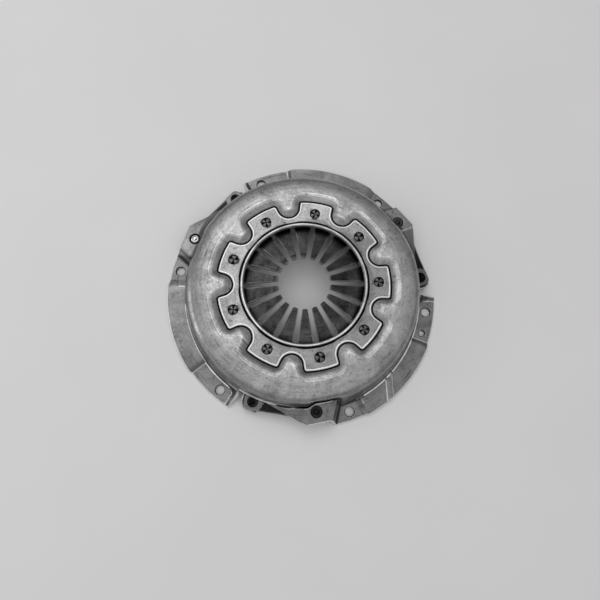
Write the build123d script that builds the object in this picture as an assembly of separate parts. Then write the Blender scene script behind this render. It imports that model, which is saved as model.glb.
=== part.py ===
from build123d import *
import os
from math import atan2, cos, degrees, radians, sin, sqrt, tan

# Diaphragm-spring clutch cover assembly, in millimetres.
# Frame: the origin is on the clutch axis, in the plane where the cover's pads meet the flywheel.
# +Z points away from the flywheel, towards the release bearing. +X passes through a cover bolt.
# The rest pose is the free state: the spring is coned up and the pressure plate hangs lowest.

os.makedirs("parts", exist_ok=True)

# ---- driving dimensions -----------------------------------------------------------------

# Cover pressing
SHEET = 3.5                  # thickness of the cover's steel sheet
FLANGE_R = 136.5             # outer radius of the flange
PLAIN_LIFT = 1.5             # how far the plain flange stands off the flywheel
DOME_FOOT_R = 118.0          # outer radius of the dome where it meets the pads
DOME_SHOULDER_R = 113.0      # outer radius of the dome below its shoulder
SHOULDER_DROP = 11.5         # how far below the crest the shoulder bend starts
SHOULDER_BEND = 9.7          # outer bend radius of the shoulder
CREST_R = 92.0               # radius of the dome's highest ring
CREST_Z = 41.0               # height of that ring above the flywheel
POCKET_DEPTH = 5.0           # from the crest down to the floor that carries the rivets
POCKET_GAP = 1.0             # gap round the retainer plate inside the pocket
LIP_INSET = 14.0             # from the rivet circle in to the bore of the raised lip
LIP_WALL = 3.7               # radial thickness of the lip
LIP_HEIGHT = 4.5             # how far the lip stands above the pocket floor
LIP_BEND = 4.5               # inside bend where the floor turns up into the lip

# Bolts and dowel
BOLT_PCD = 254.0
BOLT_COUNT = 6
BOLT_HOLE_R = 4.5
DOWEL_R = 3.0
DOWEL_ANGLE = -10.0          # from the bolt on +X
SEGMENTS = 3                 # the flange is three equal segments

# Flange segment, angles in degrees from its trailing bolt
PAD_END = 4.8                # where the end ramp starts
SEGMENT_END = 7.7            # cut end of the segment
PAD_INNER_END = -13.5        # step from the trailing pad up to the plain flange
LEAD_PAD_END = 6.0           # the same step, from the leading bolt
END_RAMP_RISE = 6.5
END_RAMP_RUN = 5.0

# Raised strap pad, angles from the strap rivet
STRAP_PAD_Z = 22.0           # upper face of the pad
STRAP_PAD_REACH = 10.3       # from the strap rivet out to the pad's straight outer edge
STRAP_BEFORE_BOLT = 15.0     # angle from the strap rivet to the leading bolt
PAD_CORNER_ANGLE = -4.5      # sharp outer corner of the pad
WING_END_ANGLE = -25.5       # where the wing runs out against the dome
PAD_WALL_FOOT_INSET = (0.2, 2.1)       # its foot line: outside the dome's foot, inside the flange edge
PAD_WALL_FOOT_ANGLE = (12.5, 8.0)
PAD_WALL_RUN = 8.0           # how far the wall leans as it rises
LUG_WINDOW_Z = 20.5          # lower edge of the dome over each lug
SCALLOP_R = 9.5              # room pressed into the dome round each strap rivet

# Pivot: rivets and fulcrum rings
RIVET_COUNT = 9
RIVET_R = 71.5               # radius of the rivet circle
RIVET_ANGLE = 10.75          # first rivet, from +X
RIVET_SHANK_R = 3.25
RIVET_HEAD_R = 4.75
RIVET_HEAD_DEPTH = 0.5       # how far the upper head sits below the retainer's face
RIVET_HEAD_T = 2.0
RIVET_FOOT_R = 5.5
RIVET_FOOT_T = 3.0
WIRE_R = 2.0                 # radius of the fulcrum ring wire
FIT = 0.1                    # radial clearance of fixed pieces in their holes
RUN = 0.4                    # clearance between pieces that move past each other

# Retainer plate
RETAINER_T = 3.0
RETAINER_REACH = 11.5        # from the rivet circle out to the tabs' ends
NOTCH_R = 11.0               # radius of the notches between its tabs
NOTCH_OFFSET = 7.0           # from the rivet circle out to the notches' centres
TAB_CORNER_R = 2.0
RETAINER_EDGE = 0.7          # softened upper edge

# Diaphragm spring
SPRING_T = 2.6
SPRING_R = 96.0
TIP_R = 25.0
CONE_ANGLE = 12.0            # free cone angle
FINGER_COUNT = 18
SLOT_W = 4.0
SLOT_ROOT_R = 4.75

# Pressure plate
PLATE_R = 111.0
PLATE_BORE_R = 74.0
PLATE_FACE_Z = 3.0           # friction face, free state
PLATE_T = 8.0
PLATE_CHAMFER = 1.5
RIDGE_R = 93.0               # circle where the spring presses on the plate
RIDGE_TOP_HALF = 3.0
RIDGE_CROWN = 1.0            # how far its rounded top falls to either side
RIDGE_FOOT_HALF = 6.5
RIDGE_GAPS = 9               # cooling gaps across the ridge
RIDGE_GAP_W = 8.0
RIDGE_GAP_Z = 13.0           # floor of those gaps
LUG_REACH = 9.1              # from the strap rivet out to the lug's end
LUG_FOOT_HALF = 12.0
LUG_TIP_HALF = 7.0
LUG_T = 6.0
LUG_CORNER_R = 3.0

# Drive straps
STRAP_R = 119.4              # radius of the strap rivets
STRAP_SWEEP = 29.4           # angle from a cover rivet to its lug rivet
STRAP_W = 16.0
LEAF_T = 0.8
LEAF_COUNT = 3
STRAP_DROP = 4.5             # how much lower the lug end lies, free state
STRAP_FLAT = 9.0             # flat length beyond each rivet
STRAP_SHANK_R = 4.0
STRAP_HEAD_R = 5.25
STRAP_HEAD_T = 1.8
STRAP_TAIL_R = 6.0
STRAP_TAIL_T = 2.2

# ---- worked-out places --------------------------------------------------------------------

BOLT_R = BOLT_PCD / 2
DOME_SHOULDER_Z = CREST_Z - SHOULDER_DROP
POCKET_FLOOR_Z = CREST_Z - POCKET_DEPTH
POCKET_UNDER_Z = POCKET_FLOOR_Z - SHEET
BORE_R = RIVET_R - LIP_INSET
LIP_TOP_Z = POCKET_FLOOR_Z + LIP_HEIGHT
RETAINER_R = RIVET_R + RETAINER_REACH
NOTCH_CENTRE_R = RIVET_R + NOTCH_OFFSET
STRAP_PAD_R = STRAP_R + STRAP_PAD_REACH
LUG_R = STRAP_R + LUG_REACH
PAD_WALL_FOOT_R = (DOME_FOOT_R + PAD_WALL_FOOT_INSET[0], FLANGE_R - PAD_WALL_FOOT_INSET[1])
PIVOT_R = RIVET_R + RIVET_SHANK_R + WIRE_R + FIT
HALF_SPRING_Z = SPRING_T / 2 / cos(radians(CONE_ANGLE))
PIVOT_Z = POCKET_UNDER_Z - 2 * WIRE_R - RUN - HALF_SPRING_Z
LOWER_RING_Z = PIVOT_Z - HALF_SPRING_Z - RUN - WIRE_R
RIVET_FOOT_Z = LOWER_RING_Z - WIRE_R
RETAINER_TOP_Z = POCKET_FLOOR_Z + RETAINER_T
RIDGE_TOP_Z = PIVOT_Z - (RIDGE_R - PIVOT_R) * tan(radians(CONE_ANGLE)) - HALF_SPRING_Z - RUN
PLATE_TOP_Z = PLATE_FACE_Z + PLATE_T
PACK_T = LEAF_T * LEAF_COUNT
PAD_UNDER_Z = STRAP_PAD_Z - SHEET
LUG_TOP_Z = PAD_UNDER_Z - STRAP_DROP - PACK_T
SEGMENT_PITCH = 360 / SEGMENTS
TRAILING_BOLTS = [i * SEGMENT_PITCH for i in range(SEGMENTS)]
LEADING_BOLTS = [a - 360 / BOLT_COUNT for a in TRAILING_BOLTS]
STRAP_ANGLES = [a - STRAP_BEFORE_BOLT for a in LEADING_BOLTS]
RIVET_ANGLES = [RIVET_ANGLE + i * 360 / RIVET_COUNT for i in range(RIVET_COUNT)]
NOTCH_ANGLES = [a + 180 / RIVET_COUNT for a in RIVET_ANGLES]
HIGH = 100.0                 # longer than anything it cuts
EPS = 0.5                    # overlap that makes joined regions one solid


# ---- small helpers ------------------------------------------------------------------------

def polar(radius, angle, z=0.0):
    """A point at a radius and an angle in degrees."""
    return Vector(radius * cos(radians(angle)), radius * sin(radians(angle)), z)


def turned(shape, angle):
    return Rot(0, 0, angle) * shape


def revolved(section, start=0.0, sweep=360.0):
    """A section drawn as radius against height, revolved about the clutch axis."""
    return turned(revolve(Plane.XZ * section, Axis.Z, sweep), start)


def sector(r_in, r_out, start, end, z_low, z_high):
    """A block of ring between two angles."""
    section = Pos((r_in + r_out) / 2, (z_low + z_high) / 2) * Rectangle(r_out - r_in, z_high - z_low)
    return revolved(section, start, end - start)


def prism(points, z_low, z_high):
    """An upright prism on a closed outline."""
    outline = Polygon(*[(p.X, p.Y) for p in points], align=None)
    return extrude(Pos(0, 0, z_low) * outline, z_high - z_low, dir=(0, 0, 1))


def disc(radius, z_low, z_high, at=Vector(0, 0, 0)):
    """An upright round bar from one height to another."""
    return Pos(at.X, at.Y, (z_low + z_high) / 2) * Cylinder(radius, z_high - z_low)


def bent_wall(inner, outer, normal, section):
    """A bent strip of sheet: its section (across, up) run along the line from inner to outer."""
    along = outer - inner
    start, direction = (inner, along) if along.cross(normal).Z > 0 else (outer, inner - outer)
    plane = Plane(origin=start, x_dir=normal, z_dir=direction)
    return extrude(plane * Polygon(*section, align=None), along.length, dir=direction.normalized())


# ---- cover ----------------------------------------------------------------------------------

def dome_face(inset, floor_z):
    """The filled half section under the dome's outer face, moved inwards by inset."""
    foot = (DOME_FOOT_R - inset, floor_z)
    shoulder = (DOME_SHOULDER_R - inset, DOME_SHOULDER_Z)
    bend = SHOULDER_BEND - inset
    over = (DOME_SHOULDER_R - SHOULDER_BEND, DOME_SHOULDER_Z + bend)
    middle = (over[0] + bend * sqrt(0.5), DOME_SHOULDER_Z + bend * sqrt(0.5))
    crest = (CREST_R, CREST_Z - inset)
    outline = [Line((0, floor_z), foot), Line(foot, shoulder), ThreePointArc(shoulder, middle, over),
               Line(over, crest), Line(crest, (0, CREST_Z - inset)),
               Line((0, CREST_Z - inset), (0, floor_z))]
    return make_face(outline)


def lobed(radius, notch_r, corner_r=0.0):
    """A disc with a round-ended notch between each pair of rivets."""
    notch = Circle(notch_r) + Pos(radius / 2, 0) * Rectangle(radius, 2 * notch_r)
    shape = Circle(radius)
    for angle in NOTCH_ANGLES:
        shape -= Rot(0, 0, angle) * Pos(NOTCH_CENTRE_R, 0) * notch
    if corner_r:
        corners = [v for v in shape.vertices() if v.center().length > radius - FIT]
        shape = fillet(corners, corner_r)
    return shape


def cover_dome():
    """Dome, pocket floor and bore lip, as one drawn sheet."""
    outer = revolved(dome_face(0, 0))
    inner = revolved(dome_face(SHEET, -EPS))
    outer -= extrude(Pos(0, 0, POCKET_FLOOR_Z) * lobed(RETAINER_R + POCKET_GAP, NOTCH_R - POCKET_GAP), HIGH)
    under_notch = NOTCH_R - POCKET_GAP - SHEET
    inner -= extrude(Pos(0, 0, POCKET_UNDER_Z) * lobed(RETAINER_R + POCKET_GAP + SHEET, under_notch), HIGH)
    for angle in STRAP_ANGLES:
        rivet = polar(STRAP_R, angle)
        outer -= disc(SCALLOP_R, STRAP_PAD_Z, HIGH, rivet)
        inner -= disc(SCALLOP_R + SHEET, PAD_UNDER_Z, HIGH, rivet)
    lip_outer = BORE_R + LIP_WALL
    cut_r = lip_outer + LIP_BEND - EPS
    return outer - inner - disc(cut_r, -1, HIGH) + bore_lip(lip_outer, cut_r + EPS)


def bore_lip(lip_outer, floor_r):
    """The collar turned up round the bore, with a rounded top and a bend below."""
    top_r = LIP_WALL / 2
    top_z = LIP_TOP_Z - top_r
    bend_z = POCKET_UNDER_Z + LIP_BEND
    bend_r = BORE_R + LIP_BEND
    bend_middle = (bend_r - LIP_BEND * sqrt(0.5), bend_z - LIP_BEND * sqrt(0.5))
    outline = [Line((lip_outer, POCKET_FLOOR_Z), (lip_outer, top_z)),
               ThreePointArc((lip_outer, top_z), (BORE_R + top_r, LIP_TOP_Z), (BORE_R, top_z)),
               Line((BORE_R, top_z), (BORE_R, bend_z)),
               ThreePointArc((BORE_R, bend_z), bend_middle, (bend_r, POCKET_UNDER_Z)),
               Line((bend_r, POCKET_UNDER_Z), (floor_r, POCKET_UNDER_Z)),
               Line((floor_r, POCKET_UNDER_Z), (floor_r, POCKET_FLOOR_Z)),
               Line((floor_r, POCKET_FLOOR_Z), (lip_outer, POCKET_FLOOR_Z))]
    return revolved(make_face(outline))


def leaning_section(run, low_z, high_z, shelf):
    """Section of sheet that rises from low_z to high_z (upper faces) over run, ending in a shelf."""
    rise = high_z - low_z
    across = SHEET * sqrt(run ** 2 + rise ** 2) / rise
    lean = run / rise
    points = [(-2 * EPS, low_z - SHEET), (-2 * EPS, low_z), (0, low_z), (run, high_z)]
    if shelf:
        points += [(run + across, high_z), (run + across, high_z - SHEET),
                   (run + across - SHEET * lean, high_z - SHEET)]
    else:
        points.append((run, low_z + (run - across) / lean))
    return points + [(across - SHEET * lean, low_z - SHEET)]


def wall_foot(strap_angle):
    """The line where the strap pad's wall meets the leading bolt pad, and the way it leans."""
    inner = polar(PAD_WALL_FOOT_R[0], strap_angle + PAD_WALL_FOOT_ANGLE[0])
    outer = polar(PAD_WALL_FOOT_R[1], strap_angle + PAD_WALL_FOOT_ANGLE[1])
    along = (outer - inner).normalized()
    return inner, outer, Vector(along.Y, -along.X, 0)


def low_flange(trailing, leading, strap_angle):
    """One segment's bolt pads, the plain flange between them and the two rises at its ends."""
    r_in = DOME_FOOT_R - SHEET / 2
    pads = sector(r_in, FLANGE_R, trailing + PAD_INNER_END, trailing + PAD_END, 0, SHEET)
    plain = sector(r_in, FLANGE_R, leading + LEAD_PAD_END, trailing + PAD_INNER_END,
                   PLAIN_LIFT, PLAIN_LIFT + SHEET)
    lead = sector(r_in, FLANGE_R, strap_angle, leading + LEAD_PAD_END, 0, SHEET)
    inner, outer, normal = wall_foot(strap_angle)
    along = (outer - inner).normalized()
    beyond = [inner - along * HIGH, outer + along * HIGH,
              outer + along * HIGH + normal * HIGH, inner - along * HIGH + normal * HIGH]
    lead -= prism(beyond, -1, HIGH)
    section = leaning_section(PAD_WALL_RUN, SHEET, STRAP_PAD_Z, True)
    wall = bent_wall(inner - along * SHEET, outer + along * EPS, normal, section)
    ramp_in = polar(r_in, trailing + PAD_END)
    ramp_out = polar(FLANGE_R - EPS, trailing + PAD_END)
    ramp_normal = polar(1, trailing + PAD_END + 90)
    ramp_section = leaning_section(END_RAMP_RUN, SHEET, SHEET + END_RAMP_RISE, False)
    ramp = bent_wall(ramp_in, ramp_out, ramp_normal, ramp_section)
    return pads + plain + lead + wall + ramp - revolved(dome_face(SHEET, -1))


def strap_pad(strap_angle):
    """The raised pad that carries the strap rivet, and the wing that runs out beyond it."""
    inner, outer, normal = wall_foot(strap_angle)
    corner_r = STRAP_PAD_R / cos(radians(PAD_CORNER_ANGLE))
    corner = polar(corner_r, strap_angle + PAD_CORNER_ANGLE)
    opposite = polar(corner_r, strap_angle - PAD_CORNER_ANGLE)
    wall_top = inner + normal * (PAD_WALL_RUN + EPS)
    wing_end = polar(DOME_SHOULDER_R, strap_angle + WING_END_ANGLE)
    inside = DOME_SHOULDER_R - SHEET
    back = [polar(inside, strap_angle + WING_END_ANGLE), polar(inside / 2, strap_angle),
            polar(inside, strap_angle + PAD_WALL_FOOT_ANGLE[0])]
    pad = prism([corner, opposite, wall_top] + back[::-1] + [wing_end], PAD_UNDER_Z, STRAP_PAD_Z)
    return pad - revolved(dome_face(SHEET, -1))


def make_cover():
    cover = cover_dome()
    for strap_angle, trailing in zip(STRAP_ANGLES, TRAILING_BOLTS):
        behind = trailing - SEGMENT_PITCH + SEGMENT_END
        wall_angle = strap_angle + PAD_WALL_FOOT_ANGLE[0] - degrees(atan2(SHEET, DOME_FOOT_R))
        cover -= sector(PIVOT_R, FLANGE_R + 1, behind, wall_angle, -1, PAD_UNDER_Z)
        cover -= sector(PIVOT_R, FLANGE_R + 1, behind, strap_angle + WING_END_ANGLE, -1, LUG_WINDOW_Z)
    for trailing, leading, strap_angle in zip(TRAILING_BOLTS, LEADING_BOLTS, STRAP_ANGLES):
        cover += low_flange(trailing, leading, strap_angle)
        cover += strap_pad(strap_angle)
        cover -= disc(BOLT_HOLE_R, -1, STRAP_PAD_Z / 2, polar(BOLT_R, trailing))
        cover -= disc(BOLT_HOLE_R, -1, STRAP_PAD_Z / 2, polar(BOLT_R, leading))
        cover -= disc(STRAP_SHANK_R + FIT, PAD_UNDER_Z - 1, STRAP_PAD_Z + 1, polar(STRAP_R, strap_angle))
    cover -= disc(DOWEL_R, -1, SHEET + 1, polar(BOLT_R, DOWEL_ANGLE))
    for angle in RIVET_ANGLES:
        cover -= disc(RIVET_SHANK_R + FIT, POCKET_UNDER_Z - 1, HIGH, polar(RIVET_R, angle))
    return cover


# ---- pivot ----------------------------------------------------------------------------------

def make_retainer():
    """The lobed plate that lies in the pocket, under the heads of the pivot rivets."""
    plate = extrude(lobed(RETAINER_R, NOTCH_R, TAB_CORNER_R), RETAINER_T)
    plate = Pos(0, 0, POCKET_FLOOR_Z) * plate
    plate = chamfer(plate.faces().sort_by(Axis.Z)[-1].edges(), RETAINER_EDGE)
    plate -= disc(BORE_R + LIP_WALL + FIT, 0, HIGH)
    head_seat_z = RETAINER_TOP_Z - RIVET_HEAD_DEPTH - RIVET_HEAD_T
    for angle in RIVET_ANGLES:
        at = polar(RIVET_R, angle)
        plate -= disc(RIVET_SHANK_R + FIT, 0, HIGH, at) + disc(RIVET_HEAD_R + FIT, head_seat_z, HIGH, at)
    return plate


def pivot_rivet(at):
    """Upper head sunk in the retainer, long shank, and the foot that holds the lower ring."""
    head_top = RETAINER_TOP_Z - RIVET_HEAD_DEPTH
    head = disc(RIVET_HEAD_R, head_top - RIVET_HEAD_T, head_top, at)
    head = chamfer(head.faces().sort_by(Axis.Z)[-1].edges(), RIVET_HEAD_DEPTH)
    shank = disc(RIVET_SHANK_R, RIVET_FOOT_Z - EPS, head_top - RIVET_HEAD_T + EPS, at)
    foot = disc(RIVET_FOOT_R, RIVET_FOOT_Z - RIVET_FOOT_T, RIVET_FOOT_Z, at)
    foot = chamfer(foot.faces().sort_by(Axis.Z)[0].edges(), RIVET_FOOT_T / 3)
    return head + shank + foot


def fulcrum_ring(z):
    return Pos(0, 0, z) * Torus(PIVOT_R, WIRE_R)


# ---- diaphragm spring ---------------------------------------------------------------------------

def spring_z(radius):
    """Height of the spring's middle surface at a radius, in the free state."""
    return PIVOT_Z - (radius - PIVOT_R) * tan(radians(CONE_ANGLE))


def make_finger():
    """One finger on +X, with its share of the conical ring; it rocks on the fulcrum circle."""
    pitch = 360 / FINGER_COUNT
    half = HALF_SPRING_Z
    corners = [(TIP_R, spring_z(TIP_R) - half), (SPRING_R, spring_z(SPRING_R) - half),
               (SPRING_R, spring_z(SPRING_R) + half), (TIP_R, spring_z(TIP_R) + half)]
    finger = revolved(Polygon(*corners, align=None), -pitch / 2, pitch)
    for side in (-pitch / 2, pitch / 2):
        slot = Pos(RIVET_R / 2, 0, PIVOT_Z) * Box(RIVET_R, SLOT_W, HIGH)
        gap = Pos(SPRING_R, 0, PIVOT_Z) * Box(SPRING_R, RUN, HIGH)
        root = disc(SLOT_ROOT_R, 0, HIGH, Vector(RIVET_R, 0, 0))
        finger -= turned(slot + gap + root, side)
    return finger


# ---- pressure plate ---------------------------------------------------------------------------

def lug_angle(strap_angle):
    return strap_angle - STRAP_SWEEP


def plate_lug(angle):
    """The ear that the strap pack is riveted to."""
    root = PLATE_R - LUG_T
    outline = Polygon((root, -LUG_FOOT_HALF), (STRAP_R, -LUG_FOOT_HALF), (LUG_R, -LUG_TIP_HALF),
                      (LUG_R, LUG_TIP_HALF), (STRAP_R, LUG_FOOT_HALF), (root, LUG_FOOT_HALF), align=None)
    rounded = [v for v in outline.vertices() if v.X > PLATE_R]
    lug = extrude(Pos(0, 0, LUG_TOP_Z - LUG_T) * fillet(rounded, LUG_CORNER_R), LUG_T)
    return turned(lug, angle)


def make_pressure_plate():
    """The cast ring: friction face below, spring ridge above and three strap lugs."""
    edge = PLATE_CHAMFER
    crown_in = (RIDGE_R - RIDGE_TOP_HALF, RIDGE_TOP_Z - RIDGE_CROWN)
    crown_out = (RIDGE_R + RIDGE_TOP_HALF, RIDGE_TOP_Z - RIDGE_CROWN)
    around = [crown_out, (RIDGE_R + RIDGE_FOOT_HALF, PLATE_TOP_Z), (PLATE_R - edge, PLATE_TOP_Z),
              (PLATE_R, PLATE_TOP_Z - edge), (PLATE_R, PLATE_FACE_Z), (PLATE_BORE_R, PLATE_FACE_Z),
              (PLATE_BORE_R, PLATE_TOP_Z - edge), (PLATE_BORE_R + edge, PLATE_TOP_Z),
              (RIDGE_R - RIDGE_FOOT_HALF, PLATE_TOP_Z), crown_in]
    crown = ThreePointArc(crown_in, (RIDGE_R, RIDGE_TOP_Z), crown_out)
    plate = revolved(make_face([crown, Polyline(*around)]))
    for i in range(RIDGE_GAPS):
        angle = RIVET_ANGLE + i * 360 / RIDGE_GAPS
        gap = Pos(RIDGE_R, 0, RIDGE_GAP_Z + HIGH / 2) * Box(4 * RIDGE_FOOT_HALF, RIDGE_GAP_W, HIGH)
        plate -= turned(gap, angle)
    for strap_angle in STRAP_ANGLES:
        plate += plate_lug(lug_angle(strap_angle))
        plate -= disc(STRAP_SHANK_R + FIT, 0, LUG_TOP_Z + 1, polar(STRAP_R, lug_angle(strap_angle)))
    return plate


# ---- drive straps -----------------------------------------------------------------------------

def strap_leaf(strap_angle, index):
    """One spring-steel leaf, from under its cover pad down to the lug; index 0 is the top leaf."""
    start, end = polar(STRAP_R, strap_angle), polar(STRAP_R, lug_angle(strap_angle))
    span = (end - start).length
    top = PAD_UNDER_Z - index * LEAF_T
    low = top - STRAP_DROP
    upper = [(-STRAP_W, top), (STRAP_FLAT, top), (span - STRAP_FLAT, low), (span + STRAP_W, low)]
    lower = [(x, z - LEAF_T) for x, z in reversed(upper)]
    plane = Plane(origin=(start.X, start.Y, 0), x_dir=end - start, z_dir=(end - start).cross(Vector(0, 0, 1)))
    leaf = extrude(plane * Polygon(*upper, *lower, align=None), STRAP_W, both=True)
    flat = Plane(origin=(start.X, start.Y, 0), x_dir=end - start, z_dir=(0, 0, 1))
    outline = extrude(flat * Pos(span / 2, 0) * SlotCenterToCenter(span, STRAP_W), HIGH)
    leaf &= outline
    for at in (start, end):
        leaf -= disc(STRAP_SHANK_R + FIT, 0, HIGH, at)
    return leaf


def strap_rivet(at, head_z, tail_z):
    """A rivet with a shallow round head that bears at head_z and a formed tail that bears at tail_z."""
    head = disc(STRAP_HEAD_R, head_z, head_z + STRAP_HEAD_T, at)
    head = fillet(head.faces().sort_by(Axis.Z)[-1].edges(), STRAP_HEAD_T / 2)
    tail = disc(STRAP_TAIL_R, tail_z - STRAP_TAIL_T, tail_z, at)
    tail = chamfer(tail.faces().sort_by(Axis.Z)[0].edges(), STRAP_TAIL_T / 3)
    return head + disc(STRAP_SHANK_R, tail_z - EPS, head_z + EPS, at) + tail


# ---- write every node -------------------------------------------------------------------------

LEAF_NAMES = ["top", "middle", "bottom"]

nodes = {"cover": make_cover(), "retainer_plate": make_retainer(),
         "upper_fulcrum_ring": fulcrum_ring(POCKET_UNDER_Z - WIRE_R),
         "lower_fulcrum_ring": fulcrum_ring(LOWER_RING_Z),
         "pivot_rivets": Compound([pivot_rivet(polar(RIVET_R, a)) for a in RIVET_ANGLES]),
         "pressure_plate": make_pressure_plate()}

cover_rivets, lug_rivets = [], []
for number, strap_angle in enumerate(STRAP_ANGLES, start=1):
    for index, leaf_name in enumerate(LEAF_NAMES):
        nodes[f"drive_strap_{number}_{leaf_name}"] = strap_leaf(strap_angle, index)
    cover_rivets.append(strap_rivet(polar(STRAP_R, strap_angle), STRAP_PAD_Z, PAD_UNDER_Z - PACK_T))
    lug_rivets.append(strap_rivet(polar(STRAP_R, lug_angle(strap_angle)), LUG_TOP_Z + PACK_T,
                                  LUG_TOP_Z - LUG_T))
nodes["cover_strap_rivets"] = Compound(cover_rivets)
nodes["lug_strap_rivets"] = Compound(lug_rivets)

finger = make_finger()
for number in range(FINGER_COUNT):
    angle = RIVET_ANGLE + (number - 0.5) * 360 / FINGER_COUNT
    nodes[f"diaphragm_finger_{number + 1:02d}"] = turned(finger, angle)

for name, shape in nodes.items():
    export_step(shape, f"parts/{name}.step")
print(len(nodes), "nodes; pivot circle", round(PIVOT_R, 3), "at z", round(PIVOT_Z, 3),
      "; ridge top", round(RIDGE_TOP_Z, 3), "; lug top", round(LUG_TOP_Z, 3))
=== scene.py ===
# %% [markdown]
# # A diaphragm-spring clutch cover in Blender
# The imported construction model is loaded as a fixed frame, then the pieces that are seen are made:
# pressed cover, lobed retainer plate, rivets, spring fingers, straps and cast plate. Every shape
# is worked out with numpy as whole arrays, in millimetres, and put into a mesh in metres.

import math

import bmesh
import bpy
import numpy as np
from mathutils import Matrix, Vector


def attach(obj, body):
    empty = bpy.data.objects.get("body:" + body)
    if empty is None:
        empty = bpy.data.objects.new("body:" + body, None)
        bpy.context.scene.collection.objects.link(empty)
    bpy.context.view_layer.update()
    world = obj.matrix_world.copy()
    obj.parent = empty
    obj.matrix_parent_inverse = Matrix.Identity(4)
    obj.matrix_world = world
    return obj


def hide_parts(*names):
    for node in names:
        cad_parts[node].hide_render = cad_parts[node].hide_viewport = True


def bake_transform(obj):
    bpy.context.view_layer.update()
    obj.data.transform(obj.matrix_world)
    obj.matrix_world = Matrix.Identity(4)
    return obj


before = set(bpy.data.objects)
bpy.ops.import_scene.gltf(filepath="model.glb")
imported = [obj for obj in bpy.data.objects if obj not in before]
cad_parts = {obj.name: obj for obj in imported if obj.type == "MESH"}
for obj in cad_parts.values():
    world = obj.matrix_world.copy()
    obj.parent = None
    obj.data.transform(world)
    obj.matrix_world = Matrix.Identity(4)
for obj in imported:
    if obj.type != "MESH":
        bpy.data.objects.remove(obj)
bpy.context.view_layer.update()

# %% [markdown]
# ## Sizes
# Sizes are in millimetres and degrees. The axis is Z and the flywheel face is z = 0. The cover
# repeats three times round the axis, once for each drive strap, so most angles are counted from
# a trailing bolt or from a strap rivet.

# %% Sizes of the clutch
MM = 0.001
TRAILING_BOLTS = (0.0, 120.0, 240.0)
CUT_END = 7.6  # from the trailing bolt to the segment's cut end
BOLT_RADIUS, BOLT_HOLE = 127.0, 4.5
DOWEL_ANGLE, DOWEL_HOLE = -10.0, 3.0
STRAP_FROM_TRAILING = -75.0
STRAP_RADIUS, STRAP_SWEEP, STRAP_HOLE = 119.4, 29.4, 5.4
SHEET = 3.5
BOLT_PAD, PLAIN, STRAP_PAD = 3.5, 5.0, 22.0  # heights of the flange's upper faces
RIVETS, RIVET_RADIUS, FIRST_RIVET = 9, 71.5, 10.75
PITCH = 360.0 / RIVETS
PIVOT_RADIUS, PIVOT_HEIGHT = 76.85, 26.771
rivet_angles = FIRST_RIVET + PITCH * np.arange(RIVETS)
strap_angles = np.array(TRAILING_BOLTS) + STRAP_FROM_TRAILING
print("pivot rivets at", rivet_angles, "strap rivets at", strap_angles)

# %% [markdown]
# ## From arrays to meshes
# A pressed or turned part is a grid of points: one direction runs along a profile, the other
# along a path, and neighbouring points make a four-sided face. A few helpers serve every piece.

# %% Points and faces
def polar(radius, angle, height=0.0):
    """Points in mm: x is radius times cosine of the angle, y is radius times sine, z is height."""
    turn = np.radians(angle)
    x, y = radius * np.cos(turn), radius * np.sin(turn)
    return np.stack(np.broadcast_arrays(x, y, height), -1)


def radius_and_angle(points):
    """The way back from polar: distance from the axis and angle in degrees."""
    x, y = points[..., 0], points[..., 1]
    return np.hypot(x, y), np.degrees(np.arctan2(y, x))


def grid_faces(rows, columns, wrap_rows=False, wrap_columns=False, first=0):
    """Quads between neighbours of a grid; a wrapped direction joins its last to its first."""
    i = np.arange(rows if wrap_rows else rows - 1)[:, None]
    j = np.arange(columns if wrap_columns else columns - 1)[None, :]
    down, right = (i + 1) % rows, (j + 1) % columns
    corners = (i * columns + j, i * columns + right, down * columns + right, down * columns + j)
    return first + np.stack(np.broadcast_arrays(*corners), -1).reshape(-1, 4)

# %% Meshes and objects
def outward_faces(mesh, join_doubles=False):
    """Turns all normals outwards. Points that share a place become one first, if that is asked,
    which closes turned shapes on their axis."""
    work = bmesh.new()
    work.from_mesh(mesh)
    if join_doubles:
        bmesh.ops.remove_doubles(work, verts=work.verts, dist=1e-6)
        bmesh.ops.dissolve_degenerate(work, edges=work.edges, dist=1e-7)
    bmesh.ops.recalc_face_normals(work, faces=work.faces)
    work.to_mesh(mesh)
    work.free()


def smooth(mesh, sharp_angle=60):
    mesh.shade_smooth()
    mesh.set_sharp_from_angle(angle=math.radians(sharp_angle))


def in_scene(name, data):
    """A new object for a mesh, lamp or camera, linked to the scene."""
    thing = bpy.data.objects.new(name, data)
    bpy.context.scene.collection.objects.link(thing)
    return thing


def make_piece(name, points, faces, rubbed, sharp_angle=60):
    """A mesh object at the origin from points in mm and faces, with one number per point that the
    finishes read: up to 1 for a painted highlight, and for real wear on the parts that have it,
    down to -1 for painted shade."""
    mesh = bpy.data.meshes.new(name)
    mesh.from_pydata((points.reshape(-1, 3) * MM).tolist(), [], faces.tolist())
    outward_faces(mesh)
    layer = mesh.attributes.new("rubbed", "FLOAT", "POINT")
    layer.data.foreach_set("value", np.asarray(rubbed, np.float32).reshape(-1))
    smooth(mesh, sharp_angle)
    print(name, len(mesh.vertices), "points", len(mesh.polygons), "faces")
    return in_scene(name, mesh)

# %% [markdown]
# Each piece stands for a node of the construction model, and all but the strap leaves move with
# a body: the cover and its rivets stay bolted to the flywheel, the cast plate and the lug rivets
# lift together, and each finger rocks by itself.

# %% What a piece stands for and moves with
def stands_for(piece, node, body="cover_assembly"):
    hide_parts(node)
    if body:
        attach(piece, body)
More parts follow.
